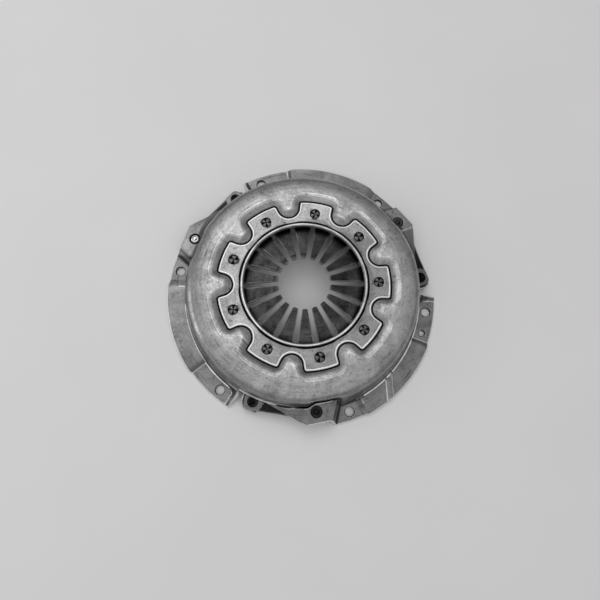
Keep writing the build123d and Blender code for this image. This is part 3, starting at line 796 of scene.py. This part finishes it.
head = [(0, 38.7), (0.5, 38.7), (1.1, 38.7), (1.7, 38.7), (2.3, 38.68), (2.9, 38.64),
        (3.5, 38.58), (4.0, 38.48), (4.4, 38.3), (4.65, 38.0), (4.75, 37.6)]
shank = [(4.75, 36.7), (3.25, 36.4), (3.25, 24.0), (3.25, 21.1)]
rivet_foot = [(5.2, 21.04), (5.5, 20.7), (5.45, 19.6), (5.0, 18.6), (4.0, 18.15), (2.0, 18.04),
              (0, 18.04)]
pivot_rivets = make_rivets("pivot_rivets_staked", "pivot_rivets", head + shank + rivet_foot,
                           polar(RIVET_RADIUS, rivet_angles), staked)

# %% [markdown]
# The drive straps are held by larger rivets, one at each end. One of the three cover rivets has a
# domed head, the other two are flat and dark, as if the part had been through the press twice.
# The domed head's finish is a lighter copy of the rivet steel with a painted highlight over the
# whole head. The lug rivets pass through the straps into the cast lugs.

# %% Strap rivets
def pressed_ring(number, radius, turn):
    """A shallow ring mark of radius 2.1 with one off-centre dent, as a closing tool leaves."""
    x, y = radius * np.cos(np.radians(turn)), radius * np.sin(np.radians(turn))
    off = np.hypot(x - 1.2, y + 0.8)
    return 0.18 * bell(radius, 2.1, 0.35) + 0.3 * bell(off, 0, 0.9)


def tail(top):
    """Profile of a closed rivet end whose upper face is at a height."""
    return [(4.0, top + 0.05), (5.6, top), (6.0, top - 0.35), (5.9, top - 1.25),
            (5.2, top - 1.95), (3.0, top - 2.15), (0, top - 2.15)]


flat_head = [(0, 22.3), (1, 22.3), (1.7, 22.3), (2.1, 22.3), (2.5, 22.3), (3.6, 22.35),
             (4.6, 22.4), (5.0, 22.3), (5.2, 21.9), (5.2, 18.6), (4.0, 18.4)]
domed_head = [(0, 23.6), (0.8, 23.58), (1.6, 23.5), (2.1, 23.4), (2.7, 23.25), (3.5, 22.85),
              (4.1, 22.2), (4.3, 21.6), (4.35, 20.6), (5.2, 20.4), (5.2, 18.6), (4.0, 18.4)]
lug_head = [(0, 15.2), (1, 15.2), (1.8, 15.25), (2.6, 15.5), (3.4, 15.75), (4.3, 15.8),
            (4.9, 15.6), (5.2, 15.1), (5.25, 14.1), (4.0, 14.0)]
strap_places = polar(STRAP_RADIUS, strap_angles)
lug_angles = strap_angles - STRAP_SWEEP
flat_rivets = make_rivets("cover_strap_rivets_flat", "cover_strap_rivets", flat_head + tail(16.05),
                          strap_places[:2], pressed_ring, shine=0.45)
domed_rivet = make_rivets("cover_strap_rivet_domed", "cover_strap_rivets",
                          domed_head + tail(16.05), strap_places[2:], pressed_ring, crown=1.6)
lug_rivets = make_rivets("lug_strap_rivets_closed", "lug_strap_rivets", lug_head + tail(5.55),
                         polar(STRAP_RADIUS, lug_angles), pressed_ring, shine=0.42,
                         body="pressure_plate")

# %% [markdown]
# ## The diaphragm spring
# The real spring is one disc with eighteen slots. Here each finger is its own piece, because each
# one rocks on the wires. It is a narrow sector of a cone between two slots of even width that end
# in round holes. Its half width in degrees is half its share of the circle less arcsin(g / R),
# where g is half the gap at radius R.

# %% Spring fingers
FINGERS, SPRING_THICK, CONE = 18, 2.6, math.radians(12)
HALF_SLOT, HALF_CUT, SLOT_END, SLOT_HOLE = 2.0, 0.2, 71.5, 4.75
FINGER_PAD, PAD_END = 0.35, 29.6
finger_rows = np.concatenate([[25, 25.6, 26.1, 26.7, 27.5, 28.6, 29.1, 29.5, 30.0],
                              np.arange(31.5, 66, 3), np.linspace(66.4, 76.4, 21),
                              np.arange(77.5, 96, 2.6), [96.0]])


def half_gap(radius):
    """Half the gap beside a finger: the slot, then the round hole, then a fine cut outside it."""
    hole = np.sqrt(np.maximum(SLOT_HOLE ** 2 - (radius - SLOT_END) ** 2, 0))
    return np.maximum(np.where(radius < SLOT_END, HALF_SLOT, HALF_CUT), hole)


def finger_height(radius, across):
    """Upper face of the cone, with a coined pad at the tip and a slight crown."""
    middle = PIVOT_HEIGHT - (radius - PIVOT_RADIUS) * math.tan(CONE)
    cone = middle + SPRING_THICK / 2 / math.cos(CONE)
    pad = FINGER_PAD * ease((PAD_END - radius) / 0.9)
    return cone + pad - 0.12 * across ** 2 * ease((66 - radius) / 10)


def finger_grid(centre):
    """Rows along the finger, columns across it; narrowing the tip rounds its corners."""
    radius = finger_rows[:, None]
    across = np.array([-1, -0.8, -0.4, 0, 0.4, 0.8, 1])[None, :]
    corner = np.degrees(np.maximum(26.2 - radius, 0) ** 2 * 0.5 / radius)
    half = 180.0 / FINGERS - np.degrees(np.arcsin(half_gap(radius) / radius)) - corner
    return polar(radius + 0 * across, centre + across * half, finger_height(radius, across))


fingers = []
for number in range(1, FINGERS + 1):
    grid = finger_grid(FIRST_RIVET + (number - 1.5) * 360.0 / FINGERS)
    piece = make_piece(f"spring_finger_{number:02d}", *thick_sheet(grid, SPRING_THICK, edge=0.35))
    stands_for(piece, f"diaphragm_finger_{number:02d}", f"finger_{number:02d}")
    fingers.append(piece)

# %% [markdown]
# ## Drive straps
# Each strap is three leaves of spring steel. They run straight from a rivet in the cover to a
# rivet in a lug and drop a little on the way, flat near both rivets. The end at the lug is
# coloured lighter than the dark leaf. When the plate lifts they flex.

# %% Strap leaves
LEAF, LEAF_GAP, STRAP_WIDTH, STRAP_DROP, STRAP_END, STRAP_CORNER = 0.8, 0.03, 16.0, 4.5, 8.0, 5.0
STRAP_TOP, STRAP_FLAT = STRAP_PAD - SHEET, 9
LUG_END_REACH, LUG_END_LIGHTNESS = 10.5, 0.75
end_rows = np.array([0, 0.3, 0.8, 1.6, 2.8, 4.2, 5.2])


def strap_grid(start, end, leaf):
    """Rows along the leaf, columns across it. The half width is 8 mm with round corners of 5 mm;
    the height falls by an eased step between the two flat ends."""
    span = np.linalg.norm(end - start)
    along = np.concatenate([-STRAP_END + end_rows, np.linspace(0, span, 36),
                            span + STRAP_END - end_rows[::-1]])[:, None]
    from_end = np.minimum(along + STRAP_END, span + STRAP_END - along)
    painted_corner_shade = np.maximum(STRAP_CORNER - from_end, 0)
    half = STRAP_WIDTH / 2 - STRAP_CORNER + np.sqrt(STRAP_CORNER ** 2 - painted_corner_shade ** 2)
    across = np.linspace(-1, 1, 9)[None, :] * half
    direction = unit(end - start)
    sideways = np.array([-direction[1], direction[0], 0])
    points = start + along[..., None] * direction + across[..., None] * sideways
    fall = ease((along - STRAP_FLAT) / (span - 2 * STRAP_FLAT))
    points[..., 2] = STRAP_TOP - leaf * LEAF - STRAP_DROP * fall
    return points


straps = []
for number, strap_angle in enumerate(strap_angles, start=1):
    start, end = polar(STRAP_RADIUS, np.array([strap_angle, strap_angle - STRAP_SWEEP]))
    for leaf, layer in enumerate(("top", "middle", "bottom")):
        grid = strap_grid(start, end, leaf)
        points, faces, rubbed = thick_sheet(grid, LEAF - LEAF_GAP, edge=0.15)
        at_lug = np.linalg.norm(points[:, :2] - end[:2], axis=1) < LUG_END_REACH
        rubbed[at_lug] = np.maximum(rubbed[at_lug], LUG_END_LIGHTNESS)
        piece = make_piece(f"strap_leaf_{number}_{layer}", points, faces, rubbed)
        stands_for(piece, f"drive_strap_{number}_{layer}", body=None)
        flat = STRAP_FLAT * unit(end - start)
        bends = start + flat + (0, 0, STRAP_TOP), end - flat + (0, 0, STRAP_TOP - STRAP_DROP)
        first, last = (tuple((bend * MM).tolist()) for bend in bends)
        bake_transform(piece)
        straps.append(piece)

# %% [markdown]
# ## The cast plate
# The pressure plate is a cast-iron ring. Its lower face is ground and turned, its back carries a
# ridge that the spring presses on, broken by nine gaps, and three lugs reach out to the straps.
# The ring is one closed section whose ridge height changes round the axis.

# %% Section of the pressure plate
PLATE_COLUMNS, PLATE_BACK, RIDGE_RADIUS = 480, 11, 93.0
# Radius and height of the section, from the bore's lower edge over the back and the ridge to the
# friction face with its groove.
SECTION = np.array([
    (75.0, 3.0), (74.3, 3.2), (74.0, 3.8), (74.0, 10.0), (74.3, 10.7), (75.0, 11), (80, 11),
    (86, 11), (88.6, 11.3), (89.6, 12.5), (90.4, 15.5), (91.2, 18.6), (92, 20.7), (93, 21.6),
    (94, 20.7), (94.8, 18.6), (95.6, 15.5), (96.4, 12.5), (97.4, 11.3), (103, 11), (107.4, 11),
    (108.4, 10.6), (108.9, 9.9), (108.9, 4.0), (108.6, 3.2), (107.9, 3.0), (98.0, 3.0),
    (92.6, 3.0), (92.2, 3.7), (91.8, 3.0), (84.0, 3.0)])
GROUND = [0, 25, 26, 27, 29, 30]


def ridge_share(angle):
    """One along the ridge, falling to nought in nine gaps that are about 8 mm wide."""
    beside = np.abs((angle - FIRST_RIVET + PITCH / 2) % PITCH - PITCH / 2)
    return ease((beside * math.pi / 180 * RIDGE_RADIUS - 3.0) / 2.2)


def plate_sections():
    """The section round the axis; what stands above the back is scaled by the ridge's share."""
    radius, height = SECTION.T
    angle = np.arange(PLATE_COLUMNS)[:, None] * 360.0 / PLATE_COLUMNS
    scaled = PLATE_BACK + (height - PLATE_BACK) * ridge_share(angle)
    level = np.where(height > PLATE_BACK, scaled, height)
    return polar(radius[None, :] + 0 * level, angle, level)

# %% Lugs and the finished plate
LUG_TOP, LUG_THICK, SHELF_DROP, SHELF_RADIUS = 11.6, 6.0, 1.4, 124.2
LUG_ROWS = np.array([106.0, 108.5, 111.0, 112.5, 115, 118, 121, 123, 124.2, 124.6, 125.0, 126.2,
                     127.2, 128.5])[:, None]


def lug_grid(angle):
    """Upper face of a lug, from inside the ring to the tip: half width 12 mm narrowing to 7 mm,
    with a lower shelf near the tip."""
    out = LUG_ROWS
    half = np.interp(out, [106, 112, 115, 122.5, 128.5], [13.5, 12.4, 12, 11.2, 6.6])
    across = np.linspace(-1, 1, 11)[None, :] * half
    level = LUG_TOP - SHELF_DROP * ease((out - SHELF_RADIUS) / 0.8) + 0.3 * ease((113 - out) / 3)
    x, y = math.cos(math.radians(angle)), math.sin(math.radians(angle))
    return np.stack([out * x - across * y, out * y + across * x, level + 0 * across], -1)


ring = plate_sections()
ground = np.zeros(ring.shape[:2])
ground[:, GROUND] = 0.9
parts = [(ring.reshape(-1, 3), grid_faces(*ring.shape[:2], wrap_rows=True, wrap_columns=True),
          ground.reshape(-1))]
parts += [thick_sheet(lug_grid(angle), LUG_THICK, edge=1.0) for angle in lug_angles]
points, faces, rubbed = zip(*parts)
firsts = np.cumsum([0] + [len(part) for part in points[:-1]])
faces = [part + first for part, first in zip(faces, firsts)]
plate = make_piece("pressure_plate_cast", *map(np.concatenate, (points, faces, rubbed)),
                   sharp_angle=45)
stands_for(plate, "pressure_plate", "pressure_plate")

# %% [markdown]
# ## Finishes
# Every finish is a small tree of nodes that reads the object's own coordinates. The steel is bare
# and lightly oiled, with soft blotches, specks and fine streaks that run round the axis, where
# the press drew the sheet. Round streaks need polar coordinates, worked out in the tree from x, y.

# %% Node helpers
def add_node(kind, sockets, tree=None, **settings):
    """Adds a node; sockets maps an input's name or number to a value or to another output. The
    tree is the one that the linked outputs belong to, unless it is given."""
    links = {key: value for key, value in sockets.items()
             if isinstance(value, bpy.types.NodeSocket)}
    tree = tree or next(iter(links.values())).id_data
    node = tree.nodes.new("ShaderNode" + kind)
    for key, value in settings.items():
        setattr(node, key, value)
    for key, value in sockets.items():
        if key in links:
            tree.links.new(value, node.inputs[key])
        else:
            node.inputs[key].default_value = value
    return node


def coordinates(tree, kind="Object"):
    return add_node("TexCoord", {}, tree).outputs[kind]


def maths(operation, first, second=0.0, third=0.0):
    return add_node("Math", {0: first, 1: second, 2: third}, operation=operation).outputs[0]


def noise(vector, scale, detail=3.0, rough=0.55, distortion=0.0):
    """Cloudy values from 0 to 1; scale is how many clouds fit in a metre."""
    return add_node("TexNoise", {"Vector": vector, "Scale": scale, "Detail": detail,
                                 "Roughness": rough, "Distortion": distortion}).outputs["Fac"]


def remap(value, low, high, to_low=0.0, to_high=1.0):
    """Carries low to to_low and high to to_high, and stops there."""
    return add_node("MapRange", {0: value, 1: low, 2: high, 3: to_low, 4: to_high}).outputs[0]


def mixed(share, first, second):
    return add_node("Mix", {0: share, 6: first, 7: second}, data_type="RGBA").outputs[2]


def round_the_axis(place, stretch):
    """Vector of (turn in radians, radius in metres, height), each times its stretch."""
    x, y, z = add_node("SeparateXYZ", {0: place}).outputs
    squares = [maths("POWER", part, 2.0) for part in (x, y)]
    polars = maths("ARCTAN2", y, x), maths("POWER", maths("ADD", *squares), 0.5), z
    parts = [maths("MULTIPLY", *pair) for pair in zip(polars, stretch)]
    return add_node("CombineXYZ", dict(enumerate(parts))).outputs[0]

# %% Colours and materials
def grey(value):
    """Display grey 0 to 1 as a linear colour."""
    linear = value / 12.92 if value <= 0.04045 else ((value + 0.055) / 1.055) ** 2.4
    return (linear, linear, linear, 1.0)


def new_finish(name, metallic, roughness=0.5):
    """A material with one Principled shader; returns it, its tree and the shader's inputs."""
    material = bpy.data.materials.new(name)
    material.use_nodes = True
    tree = material.node_tree
    inputs = tree.nodes["Principled BSDF"].inputs
    inputs["Metallic"].default_value = metallic
    inputs["Roughness"].default_value = roughness
    return material, tree, inputs

# %% [markdown]
# One recipe serves all the metals. The ground colour runs between dark and light by blotches and
# drawn streaks. Over it lie dark pits, scuffs that follow the press's draw, and smudges, then light
# scratches, then painted shade where a corner is too deep for open light, and last the marked
# places: painted highlights and real wear above nought, painted shade below.

# %% Steel and iron
BUMP_DISTANCE, CORNER_DEPTH = 0.0006, 0.008


def steel_finish(name, light, dark, rough, streak, dents, highlight_and_wear_grey, corner_shade, grain):
    """Bare metal between two greys. Places marked above nought take the bright grey in patches, as
    painted highlights and real wear, places marked below nought darken as painted shade, and corners
    darken as painted shade too. Roughness follows the grain; bump adds waves, grain, streaks, pits."""
    material, tree, inputs = new_finish(name, 1.0)
    place = coordinates(tree)
    streaks = noise(round_the_axis(place, (2.2, 420.0, 60.0)), 1.0, 5.0, 0.65)
    blotches = noise(place, 38.0, 6.0, 0.62, 0.8)
    fine = noise(place, 520.0, 3.0, 0.6)
    share = maths("MULTIPLY_ADD", streaks, streak, maths("MULTIPLY", blotches, 1 - streak))
    share = maths("MULTIPLY_ADD", fine, 0.25, maths("MULTIPLY", share, 0.75))
    colour = mixed(remap(share, 0.38, 0.62), grey(dark), grey(light))

    pits = remap(noise(place, 240.0, 3.0, 0.6, 0.5), 0.62, 0.7)
    drawn = noise(round_the_axis(place, (3.5, 480.0, 200.0)), 1.0, 2.0, 0.5)
    scuffs = maths("MULTIPLY", remap(drawn, 0.62, 0.7), remap(noise(place, 28.0, 2.0), 0.5, 0.62))
    smudges = remap(noise(place, 95.0, 4.0, 0.65, 1.2), 0.56, 0.68, 0.0, 0.3)
    marks = maths("MAXIMUM", maths("MULTIPLY", pits, 0.6), maths("MULTIPLY", scuffs, 0.7))
    colour = mixed(maths("MAXIMUM", marks, smudges), colour, grey(dark * 0.5))

    tilted = add_node("Mapping", {"Vector": place, "Rotation": (0.3, 0.2, 0.9),
                                  "Scale": (900.0, 26.0, 60.0)}).outputs[0]
    scratches = maths("MULTIPLY", remap(noise(tilted, 1.0, 2.0, 0.5), 0.70, 0.76), 0.35)
    colour = mixed(scratches, colour, grey(min(1.0, light * 1.25)))

    # Painted shade in corners, from ambient occlusion.
    corners = add_node("AmbientOcclusion", {"Distance": CORNER_DEPTH}, tree, samples=6)
    painted_corner_shade = remap(corners.outputs["AO"], 0.35, 0.9, corner_shade, 0.0)
    colour = mixed(painted_corner_shade, colour, grey(dark * 0.25))
    rubbed = add_node("Attribute", {}, tree, attribute_name="rubbed").outputs["Fac"]
    # Painted highlights, and real wear on a few parts, in patches.
    patchy_highlight_and_wear = remap(maths("MULTIPLY_ADD", blotches, 0.8, rubbed), 0.75, 1.3)
    colour = mixed(patchy_highlight_and_wear, colour, grey(highlight_and_wear_grey))
    # Painted shade where the per-point value is below nought.
    colour = mixed(remap(rubbed, 0.0, -1.0, 0.0, 0.85), colour, grey(dark * 0.3))
    tree.links.new(colour, inputs["Base Color"])

    matt = maths("MULTIPLY_ADD", fine, 0.5, maths("MULTIPLY", blotches, 0.5))
    tree.links.new(remap(matt, 0.35, 0.65, rough + 0.08, rough - 0.06), inputs["Roughness"])
    waves = noise(place, 70.0, 4.0, 0.62)
    height = maths("MULTIPLY_ADD", waves, dents, maths("MULTIPLY", fine, grain))
    height = maths("MULTIPLY_ADD", streaks, streak * 0.3, height)
    height = maths("MULTIPLY_ADD", pits, -0.05, height)
    bump = add_node("Bump", {"Strength": 1.0, "Distance": BUMP_DISTANCE, "Height": height})
    tree.links.new(bump.outputs[0], inputs["Normal"])
    return material

# %% Finishes of the pieces
wires = [bpy.data.objects[node] for node in ("upper_fulcrum_ring", "lower_fulcrum_ring")]
# Each row: pieces, name, greys light and dark, roughness, streaks, dents, grey for painted
# highlights and wear, strength of painted corner shade, grain.
for pieces, name, *values in (
        ([dome], "pressed_cover_steel", 0.72, 0.52, 0.35, 0.38, 0.9, 0.95, 0.85, 0.1),
        (flange, "pressed_flange_steel", 0.52, 0.4, 0.34, 0.2, 0.5, 0.85, 0.75, 0.1),
        ([retainer], "blanked_retainer_steel", 0.62, 0.48, 0.29, 0.1, 0.4, 0.85, 0.75, 0.1),
        (straps, "strap_spring_steel", 0.18, 0.1, 0.34, 0.1, 0.1, 0.48, 0.75, 0.1),
        (wires, "hardened_wire", 0.55, 0.42, 0.3, 0.1, 0.05, 0.9, 0.75, 0.1),
        # The domed rivet's lighter greys stand for light on its head: a painted highlight.
        ([domed_rivet], "bright_rivet_steel", 0.3, 0.18, 0.24, 0.1, 0.1, 0.9, 0.75, 0.1),
        ([pivot_rivets, flat_rivets, lug_rivets], "dark_rivet_steel",
         0.11, 0.05, 0.3, 0.1, 0.3, 0.36, 0.75, 0.1),
        (fingers, "tempered_spring_steel", 0.34, 0.12, 0.33, 0.2, 0.5, 0.5, 0.75, 0.1),
        ([plate], "cast_iron_skin", 0.32, 0.2, 0.48, 0.0, 0.5, 0.72, 0.5, 0.5)):
    finish = steel_finish(name, *values)
    for piece in pieces:
        piece.data.materials.clear()
        piece.data.materials.append(finish)
    print(name, "on", len(pieces), "pieces")

# %% [markdown]
# ## Floor, light and camera
# The clutch lies on a plain pale floor. One soft lamp hangs above on the left, and a low one there
# lights the wall of the dome. The world is a soft grey, brighter overhead and to the front.

# %% Floor and lamps
FLOOR_REACH = 30
LAMP_TARGET = Vector((0, 0, 0.03))
floor_paint, tree, inputs = new_finish("pale_floor_paint", 0.0, roughness=0.7)
paint = mixed(noise(coordinates(tree), 6.0, 2.0), grey(0.88), grey(0.91))
tree.links.new(paint, inputs["Base Color"])
mesh = bpy.data.meshes.new("floor")
corners = [(x * FLOOR_REACH, y * FLOOR_REACH, 0) for x, y in ((-1, -1), (1, -1), (1, 1), (-1, 1))]
mesh.from_pydata(corners, [], [(0, 1, 2, 3)])
mesh.materials.append(floor_paint)
in_scene("floor", mesh)


def soft_lamp(name, place, size, power):
    """A square area lamp whose local -Z points at the clutch."""
    light = bpy.data.lights.new(name, "AREA")
    light.energy, light.size = power, size
    lamp = in_scene(name, light)
    lamp.location = place
    lamp.rotation_euler = (LAMP_TARGET - Vector(place)).to_track_quat("-Z", "Y").to_euler()


soft_lamp("overhead_left", (-0.34, 0.5, 1.3), size=0.85, power=3.1)
soft_lamp("low_left", (-1.2, -0.25, 0.35), size=0.6, power=2.2)

# %% World
LOW_LIGHT, OVERHEAD_LIGHT = 0.27, 1.02
STRENGTH, FRONT_SHARE = 0.93, -0.28
world = bpy.data.worlds.new("studio")
bpy.context.scene.world = world
world.use_nodes = True
tree = world.node_tree
sky = tree.nodes["Background"].inputs
x, y, z = add_node("SeparateXYZ", {0: coordinates(tree, "Generated")}).outputs
overhead = maths("POWER", maths("MAXIMUM", z, 0.0), 2.0)
colours = [(level, level, level, 1) for level in (LOW_LIGHT, OVERHEAD_LIGHT)]
tree.links.new(mixed(overhead, *colours), sky[0])
tree.links.new(maths("MULTIPLY_ADD", y, FRONT_SHARE, STRENGTH), sky[1])
print("lights:", [light.name for light in bpy.data.lights], "and world", world.name)

# %% [markdown]
# The camera looks almost straight down, turned a little about its own axis. Its direction and the
# way up are given as unit vectors, and the lens in pixels of a frame 600 pixels wide.

# %% Camera
FRAME, LENS, SHIFT = 600.0, 479.76, (-3.77, -12.99)
SENSOR = 36.0
PLACE, ROLL = (1.90, -115.68, 480.06), math.radians(-8.57)
back = unit(np.array([0.00403, -0.24561, 0.96936]))
right = polar(1.0, 0.94)
right = unit(right - back * (right @ back))
upwards = np.cross(back, right)
side = right * math.cos(ROLL) - upwards * math.sin(ROLL)
top = right * math.sin(ROLL) + upwards * math.cos(ROLL)
lens = bpy.data.cameras.new("camera")
camera = in_scene("camera", lens)
axes = np.column_stack([side, top, back, np.array(PLACE) * MM])
camera.matrix_world = Matrix(axes.tolist() + [[0, 0, 0, 1]])
lens.sensor_width, lens.lens = SENSOR, LENS / FRAME * SENSOR
lens.shift_x, lens.shift_y = (shift / FRAME for shift in SHIFT)
lens.clip_start = 0.01
bpy.context.scene.camera = camera
bpy.context.scene.view_settings.view_transform = "Standard"
print("camera at", camera.matrix_world.translation)
